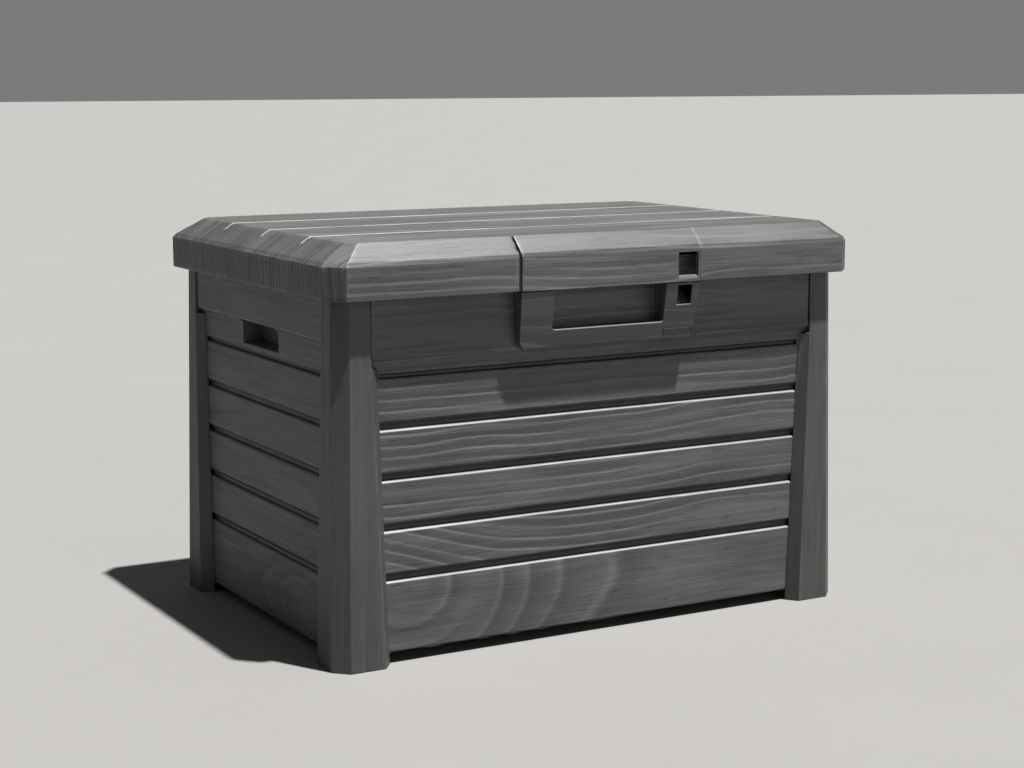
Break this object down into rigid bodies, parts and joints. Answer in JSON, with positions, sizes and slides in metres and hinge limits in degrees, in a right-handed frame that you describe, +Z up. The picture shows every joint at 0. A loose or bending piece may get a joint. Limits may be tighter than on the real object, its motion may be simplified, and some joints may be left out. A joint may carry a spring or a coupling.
{
  "type": "deck storage box",
  "caption": "Moulded resin deck storage box: slatted panels between flared corner posts, bevelled hinged lid, finger grip with padlock slots and a hand hole at each end.",
  "frame": {"origin": "floor level, centre of the closed box's bounding box in plan", "axes": "+X along the lid's length to the viewer's right, +Y from the front (finger grip) to the hinges, +Z up"},
  "size_m": [0.73, 0.507, 0.487],
  "materials": {
    "resin": "anthracite moulded resin with wood-grain relief, satin-matt",
    "resin_inner": "plain matt anthracite resin",
    "hinge_resin": "smooth dark resin",
    "steel": "zinc plated"
  },
  "bodies": {
    "base": {"base_floor": "resin_inner", "front_panel": "resin", "back_panel": "resin", "left_panel": "resin", "right_panel": "resin", "post_back_right": "resin", "post_back_left": "resin", "post_front_right": "resin", "post_front_left": "resin", "grip_bezel": "resin", "handle_cup_left": "resin_inner", "handle_cup_right": "resin_inner", "hinge_bracket_left": "hinge_resin", "hinge_bracket_right": "hinge_resin", "hinge_pin_left": "steel", "hinge_pin_right": "steel", "bracket_screws": "steel", "floor_screws": "steel"},
    "lid": {"lid_shell": "resin", "lid_liner": "resin_inner", "lid_front_cover": "resin", "hinge_leaf_left": "hinge_resin", "hinge_leaf_right": "hinge_resin", "leaf_screws": "steel"}
  },
  "joints": [
    {"name": "lid_hinge", "type": "hinge", "parent": "base", "child": "lid", "pos_m": [0, 0.2435, 0.414], "axis": [-1, 0, 0], "range_deg": [0, 100]}
  ]
}
